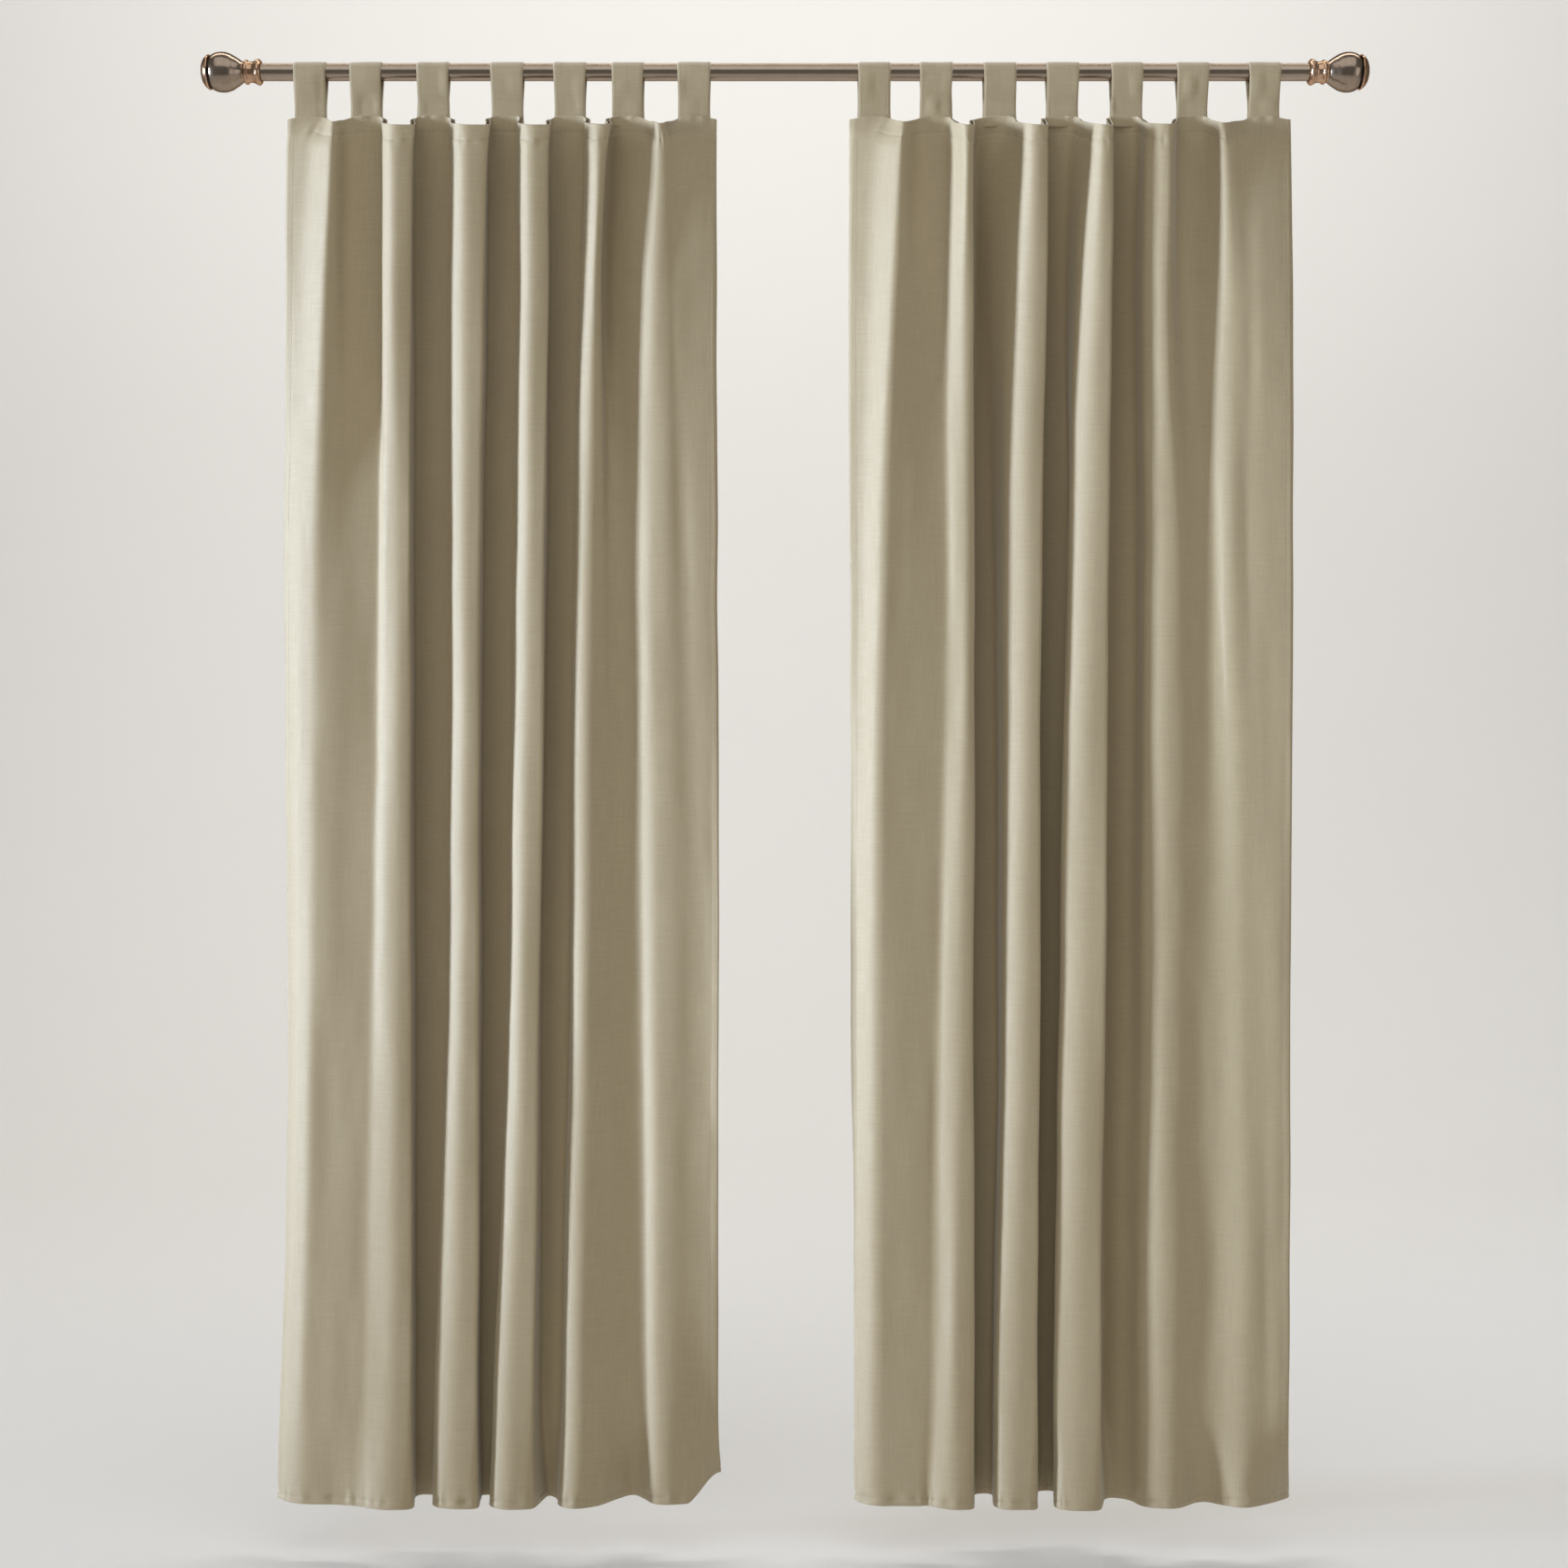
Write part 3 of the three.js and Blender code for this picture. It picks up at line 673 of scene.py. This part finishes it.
# ---- Tabs
STRAP = 1.9
STRAP_STITCH = 4.2  # from the strap's edge
STRAP_GROOVE = 0.22
TAB_FOOT = -82.0
TAB_MEET = -56.0
LOOP_PLAY = 0.45
LOOP = ROD_RADIUS + LOOP_PLAY + STRAP / 2
LOOP_ROWS = 64
FOOT_SHARE = 0.14  # of the loop's length that is caught in the header, at each end
ON_ROD_SHARE = 0.16  # of the loop's length, on each side of its top, that the rod spreads
STRAP_ROUND = 1.1  # the strap's edge is rounded over this width
STRAP_WAVE = 1.3  # how far the cloth waves, less on the rod and hardly inwards
WAVE_ON_ROD = 0.35
WAVE_INWARDS = -0.25
STRAP_TEXTURE_STEP = 61.0  # moves the weave on from one strap to the next


def tab_path():
    """The loop's middle line in (y, z), from the front foot over the rod to the back foot."""
    front = np.array([
        (-1.15, TAB_FOOT), (-1.15, TAB_FOOT + 12), (-1.3, TAB_MEET - 4),
        (-2.6, TAB_MEET + 9), (-6.6, -34), (-11.2, -17),
    ])
    angle = np.radians(np.linspace(-14, 90, 15))
    arc = np.stack([-LOOP * np.cos(angle), LOOP * np.sin(angle)], 1)
    half = np.concatenate([front, arc])
    whole = np.concatenate([half, (half * [-1, 1])[-2::-1]])
    far = travelled(whole)
    want = np.linspace(0, far[-1], LOOP_ROWS)
    line = along(want, far, whole)
    for _ in range(2):
        line[1:-1] = line[1:-1] * 0.5 + (line[:-2] + line[2:]) * 0.25
    return line, want


def strap_stitching(name, middle, half, across, outer, direction):
    """Two lines of stitches on the strap's outer face, one beside each edge."""
    skip = slice(5, -5)
    lines = []
    for sign, column in ((-1, 3), (1, -4)):
        where = sign * (half - STRAP_STITCH)
        y, z = (
            np.array([np.interp(where[i], across * half[i], outer[i, :, k]) for i in range(len(half))])
            for k in (1, 2)
        )
        path = np.stack([middle + where, y, z], 1)
        lines.append((path[skip], direction[skip, column]))
    return stitches(name, lines)


def make_tab(name, x, seed):
    """A doubled strap looped over the rod, with its stitching."""
    rng = np.random.default_rng(seed)
    line, far = tab_path()
    tangent = unit(np.gradient(line, axis=0))
    outward = np.stack([-tangent[:, 1], tangent[:, 0]], 1)
    share = far / far[-1]
    on_rod = ridge(share - 0.5, ON_ROD_SHARE)
    from_foot = np.minimum(share, 1 - share)
    foot = between(FOOT_SHARE - from_foot, 0, FOOT_SHARE)
    widened = rng.uniform(-0.4, 1.1) * on_rod
    drawn_in = rng.uniform(0.3, 1.6) * (1 - on_rod)
    half = TAB_WIDTH / 2 + widened - drawn_in + 0.6 * foot
    lean = rng.uniform(-1.6, 1.6) * (share - 0.5) * 2
    across = np.linspace(-1, 1, 23)
    x_grid = x + lean[:, None] + across[None, :] * half[:, None]
    far_grid = np.broadcast_to(far[:, None], x_grid.shape)
    edge = (1 - np.abs(across))[None, :] * half[:, None]
    thick = STRAP / 2 * np.sqrt(1 - np.clip(1 - edge / STRAP_ROUND, 0, 1) ** 2)
    thick = thick - STRAP_GROOVE * ridge(edge - STRAP_STITCH, 0.9)
    wave = STRAP_WAVE * soft_noise(x_grid, far_grid, 20, 30, seed + 1)
    wave = wave * (1 - foot[:, None]) * np.where(on_rod[:, None] > 0.55, WAVE_ON_ROD, 1.0)
    wave = np.maximum(wave, WAVE_INWARDS)
    direction = np.zeros((*x_grid.shape, 3))
    direction[..., 1:] = outward[:, None]
    centre = np.zeros_like(direction)
    centre[..., 0] = x_grid
    centre[..., 1:] = line[:, None]
    centre = centre + direction * wave[..., None]
    outer = centre + direction * thick[..., None]
    inner = centre - direction * thick[..., None]
    texture_x = np.broadcast_to(across[None, :] * TAB_WIDTH / 2 + seed * STRAP_TEXTURE_STEP, x_grid.shape)
    uv = np.stack([texture_x, far_grid], -1)
    strap = closed_sheet(name, outer[:, ::-1], inner[:, ::-1], uv[:, ::-1], FABRIC, bulge=0.0)
    thread = strap_stitching(name + "_stitching", x + lean, half, across, outer, direction)
    return strap, thread


# ---- Turned metal
def turned(name, profile, centre_x, sign, material, segments=96):
    """A solid of revolution about the rod from (radius, distance) pairs, distances growing along sign."""
    turn = np.linspace(0, 2 * math.pi, segments, endpoint=False)
    verts, faces, rings = [], [], []
    for radius, distance in profile:
        x = centre_x + sign * distance
        if radius < 1e-6:
            rings.append([len(verts)])
            verts.append((x, 0, 0))
        else:
            rings.append(list(range(len(verts), len(verts) + segments)))
            verts += [(x, radius * math.cos(a), radius * math.sin(a)) for a in turn]
    for a, b in zip(rings[:-1], rings[1:]):
        for i in range(segments):
            j = (i + 1) % segments
            if len(a) == 1:
                face = (a[0], b[j], b[i])
            elif len(b) == 1:
                face = (a[i], a[j], b[0])
            else:
                face = (a[i], a[j], b[j], b[i])
            faces.append(face if sign < 0 else face[::-1])
    return add_object(name, verts, faces, material=material)


def curve_points(pairs, count):
    """Points along a smooth curve through (radius, distance) pairs."""
    p = np.array(pairs, float)
    far = travelled(p)
    return [tuple(q) for q in monotone(far, p, np.linspace(0, far[-1], count))]


def sharpen(made, angle=32):
    """Keeps the mesh smooth except at its hard edges."""
    bpy.context.view_layer.objects.active = made
    made.select_set(True)
    bpy.ops.object.shade_smooth_by_angle(angle=math.radians(angle))
    made.select_set(False)


ROD_WALL = 1.0
ROD_EDGE = 0.35  # the rounding at the tube's cut ends
ROD_STATIONS = 41


def make_rod():
    inner, rim, end = ROD_RADIUS - ROD_WALL, ROD_RADIUS - ROD_EDGE, ROD_HALF - ROD_EDGE
    profile = [(inner, -end), (rim, -ROD_HALF)]
    profile += [(ROD_RADIUS, station) for station in np.linspace(-end, end, ROD_STATIONS)]
    profile += [(rim, ROD_HALF), (inner, end), (inner, -end)]
    rod = turned("rod", profile, 0.0, 1, ROD_METAL)
    sharpen(rod)
    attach(rod, "rod")
    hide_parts("rod_tube")


# ---- The finial's outlines: (radius, distance from the collar's open end)
SOCKET = 13.0
SOCKET_DEPTH = 25.1
COLLAR_END = 27.2
STUD_HOLE = 3.4
BULB_START, BULB_END = 27.5, 72.3
RING_START, RING_END = 72.6, 75.6
RING_RADIUS = 23.5
CAP_START = 75.9
TIP = 88.6


def collar_outline():
    """A flanged sleeve with a hollow waist, then a small bead and a neck."""
    waist = curve_points([
        (17.2, 0.9), (18.9, 2.6), (19.0, 4.3), (18.2, 6.0),
        (16.7, 9.0), (15.35, 12.0), (15.2, 15.0), (15.6, 18.6),
    ], 36)
    bead = [
        (16.2, 19.2), (17.2, 19.6), (17.75, 20.4), (17.85, 21.9), (17.6, 23.2), (16.9, 23.9), (16.1, 24.4),
    ]
    neck = [(15.6, 25.4), (15.4, COLLAR_END), (13.4, COLLAR_END), (SOCKET, SOCKET_DEPTH)]
    return [(SOCKET, 0.5), (13.4, 0.0), (16.6, 0.0)] + waist + bead + neck + [(SOCKET, 0.5)]


def bulb_outline():
    side = curve_points([
        (15.6, 28.2), (18.4, 31.6), (22.6, 38.2), (26.0, 44.0), (27.9, 49.6),
        (28.9, 54.6), (29.0, 58.4), (28.5, 63.6), (27.2, 68.2), (25.6, 71.6),
    ], 60)
    back = [(25.0, BULB_END), (STUD_HOLE, BULB_END), (STUD_HOLE, BULB_START)]
    return [(STUD_HOLE, BULB_START), (15.0, BULB_START)] + side + back


def ring_outline():
    soft = 0.3
    return [
        (STUD_HOLE, RING_START), (RING_RADIUS - soft, RING_START), (RING_RADIUS, RING_START + soft),
        (RING_RADIUS, RING_END - soft), (RING_RADIUS - soft, RING_END), (STUD_HOLE, RING_END),
        (STUD_HOLE, RING_START),
    ]


def cap_outline():
    dome = curve_points([
        (25.4, 77.4), (25.2, 78.2), (24.2, 79.4), (22.6, 81.4), (20.2, 83.7),
        (16.4, 86.0), (11.0, 87.8), (5.0, 88.5), (0.0, TIP),
    ], 40)
    return [(STUD_HOLE, CAP_START), (24.9, CAP_START), (25.4, 76.3)] + dome[:-1] + [(0.0, TIP)]


def make_finial(side, sign):
    """Collar, bulb, ring and cap as turned shells; the CAD stud stays."""
    body = side + "_finial"
    for part, outline, material, slot in (
        ("collar", collar_outline(), TRIM_METAL, "trim_rose_bronze"),
        ("bulb", bulb_outline(), BULB_METAL, "bulb_antique_bronze"),
        # the ring takes the near-black painted shade of its groove
        ("ring", ring_outline(), RING_PAINTED_SHADE_METAL, "ring_dark"),
        ("cap", cap_outline(), TRIM_METAL, "trim_rose_bronze"),
    ):
        piece = turned(f"{body}_{part}_skin", outline, sign * FINIAL_START, sign, material)
        sharpen(piece, 40)
        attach(piece, body)
        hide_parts(f"{body}_{part}")


# ---- The curtains' pieces
FACING = 0.9
FACING_GAP = 0.12
FOOT_THICK = 4.6  # the room that a tab's foot needs between cloth and facing


def facing_of(panel, side):
    """The strip sewn behind the header, over the tabs' feet."""
    keep = np.nonzero((ROWS > 0.5) & (ROWS <= FACING_DROP))[0]
    front, normal = panel["front"][keep], panel["normal"][keep]
    below = FACING_DROP - panel["drop"][keep]
    room = CLOTH + FACING_GAP + panel["foot_room"][None, :] * FOOT_THICK * between(below, 2.5, 8.0)
    face = front - normal * room[..., None]
    back = face - normal * FACING
    return closed_sheet(side + "_header_facing_strip", face, back, panel["uv"][keep] + [0, 60], FABRIC)


def beside(grid, far):
    """Each row's values where the distance from one side edge is SIDE_STITCH."""
    way = 1 if far[0, 0] < far[0, -1] else -1
    return np.array([
        [np.interp(SIDE_STITCH, distance[::way], row[::way, k]) for k in range(3)]
        for distance, row in zip(far, grid)
    ])


def panel_lines(panel):
    """Where the panel's sewing shows: header, hem and both sides, front and back."""
    front, back, normal = panel["front"], panel["back"], panel["normal"]
    header = int(np.argmin(np.abs(ROWS - HEADER_STITCH)))
    hem = int(np.argmin(np.abs(ROWS - (DROP - HEM_STITCH))))
    within = slice(4, -4)
    lines = [
        (front[header, within], normal[header, within]),
        (front[hem, within], normal[hem, within]),
        (back[hem, within], -normal[hem, within]),
    ]
    keep = (ROWS > 2) & (ROWS < DROP - 3)
    lower = keep & (ROWS > FACING_DROP + 1)
    for far in panel["from_edges"]:
        lines.append((beside(front, far)[keep], beside(normal, far)[keep]))
        lines.append((beside(back, far)[lower], -beside(normal, far)[lower]))
    return lines


def tab_middles(side):
    middles = []
    for i in range(1, TAB_COUNT + 1):
        low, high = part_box(f"{side}_tab_{i}")
        middles.append((low[0] + high[0]) / 2 / MM)
    return middles


def add_tab(side, i, x, seed):
    """Tab 1 goes with its panel, and every other tab is a body of its own."""
    strap, thread = make_tab(f"{side}_tab_{i}_strap", x, seed * 10 + i)
    body = side + "_panel" if i == 1 else f"{side}_tab_{i}"
    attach(strap, body)
    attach(thread, body)
    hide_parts(f"{side}_tab_{i}")
    return strap


def build_side(side, folds, seed, lifted):
    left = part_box(side + "_panel_cloth")[0][0] / MM
    tab_xs = tab_middles(side)
    panel = make_panel(folds, left, tab_xs, seed, lifted)
    cloth = closed_sheet(side + "_curtain", panel["front"], panel["back"], panel["uv"], FABRIC)
    strip = facing_of(panel, side)
    sewing = stitches(side + "_curtain_stitching", panel_lines(panel))
    tabs = [add_tab(side, i, x, seed) for i, x in enumerate(tab_xs, 1)]
    for piece in (cloth, strip, sewing):
        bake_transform(piece)
    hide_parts(side + "_panel_cloth")
    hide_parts(side + "_header_facing")


def finish_fasteners():
    """Gives the studs and set screws, which stay as the frame's own meshes, their black steel."""
    for name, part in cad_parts.items():
        if name.endswith(("set_screw", "stud")):
            part.data.materials.clear()
            part.data.materials.append(SCREW_METAL)


make_rod()
make_finial("left", -1)
make_finial("right", 1)
build_side("left", LEFT_FOLDS, seed=11, lifted=38.0)
build_side("right", RIGHT_FOLDS, seed=23, lifted=0.0)
finish_fasteners()

# ---- Stage
FLOOR_Z = -2200.0
BACKDROP_Y = 5600.0
BACKDROP_TOP = 7000.0
SWEEP = 2600.0
SWEEP_STEPS = 16
FLOOR_FRONT = -3000.0
STAGE_HALF = 6500.0
STAGE_COLOUR = (0.88, 0.865, 0.84)


def stage_material(name, colour):
    material, tree, shader = node_material(name)
    where = node(tree, "ShaderNodeTexCoord").outputs["Object"]
    patches = ramp(tree, noise(tree, where, 3.0), dimmed(colour, 0.985), colour)
    tree.links.new(patches, shader.inputs["Base Color"])
    shader.inputs["Roughness"].default_value = 0.9
    return material


def make_stage():
    """A pale floor that sweeps up into a plain backdrop."""
    profile = [(FLOOR_FRONT, FLOOR_Z), (BACKDROP_Y - SWEEP, FLOOR_Z)]
    for k in range(1, SWEEP_STEPS):
        a = math.pi / 2 * k / SWEEP_STEPS
        profile.append((BACKDROP_Y - SWEEP + SWEEP * math.sin(a), FLOOR_Z + SWEEP - SWEEP * math.cos(a)))
    profile += [(BACKDROP_Y, FLOOR_Z + SWEEP), (BACKDROP_Y, BACKDROP_TOP)]
    verts = [(x, y, z) for y, z in profile for x in (-STAGE_HALF, STAGE_HALF)]
    faces = [(2 * k, 2 * k + 1, 2 * k + 3, 2 * k + 2) for k in range(len(profile) - 1)]
    add_object("stage", verts, faces, material=stage_material("stage_pale", STAGE_COLOUR))


make_stage()

# ---- Light
CURTAIN_MIDDLE = (0, 0, -1.0)
DAYLIGHT = (0.68, 0.80, 1.0)
LAMPLIGHT = (1.0, 0.985, 0.96)
ROOM_COLOUR = (1.0, 0.99, 0.97)
ROOM_STRENGTH = 0.18
SEEN_COLOUR = (0.97, 0.97, 0.96)
SEEN_STRENGTH = 0.92


def add_area(name, place, towards, size, watts, colour=(1, 1, 1), spread=180, glossy=True):
    """A rectangular lamp that the camera doesn't see. Metres, and spread in degrees."""
    data = bpy.data.lights.new(name, "AREA")
    data.shape = "RECTANGLE"
    data.size, data.size_y = size
    data.spread = math.radians(spread)
    data.energy = watts
    data.color = colour
    lamp = bpy.data.objects.new(name, data)
    lamp.location = place
    way = np.array(towards) - np.array(place)
    yaw = math.atan2(way[0], -way[1])
    level = math.hypot(way[0], way[1])
    lamp.rotation_euler = (math.atan2(level, -way[2]), 0, yaw + math.pi)
    lamp.visible_camera = False
    lamp.visible_glossy = glossy
    bpy.context.scene.collection.objects.link(lamp)


def make_room():
    """Soft light from all round, and a brighter pale colour where the camera looks past the stage."""
    world = bpy.data.worlds.new("room")
    world.use_nodes = True
    tree = world.node_tree
    around = tree.nodes["Background"]
    around.inputs[0].default_value = (*ROOM_COLOUR, 1)
    around.inputs[1].default_value = ROOM_STRENGTH
    seen = node(tree, "ShaderNodeBackground", {"Color": (*SEEN_COLOUR, 1), "Strength": SEEN_STRENGTH})
    is_camera = node(tree, "ShaderNodeLightPath").outputs["Is Camera Ray"]
    either = node(tree, "ShaderNodeMixShader", {0: is_camera, 1: around.outputs[0], 2: seen.outputs[0]})
    tree.links.new(either.outputs[0], tree.nodes["World Output"].inputs[0])
    bpy.context.scene.world = world


add_area("key", (-16.0, -3.0, -0.9), CURTAIN_MIDDLE, (1.6, 6.5), 172, DAYLIGHT, spread=24)
add_area("front", (-1.3, -6.2, -1.1), CURTAIN_MIDDLE, (4.6, 2.6), 104, glossy=False)
add_area("right", (3.6, -2.6, -0.6), CURTAIN_MIDDLE, (2.0, 2.6), 14)
add_area("above", (0, -2.2, 2.4), (0, 0, 0), (5.2, 3.6), 45)
add_area("backdrop_light", (0, 1.2, 3.6), (0, 5.6, -0.6), (7.0, 1.4), 225, LAMPLIGHT)
make_room()
bpy.context.scene.view_settings.view_transform = "Standard"
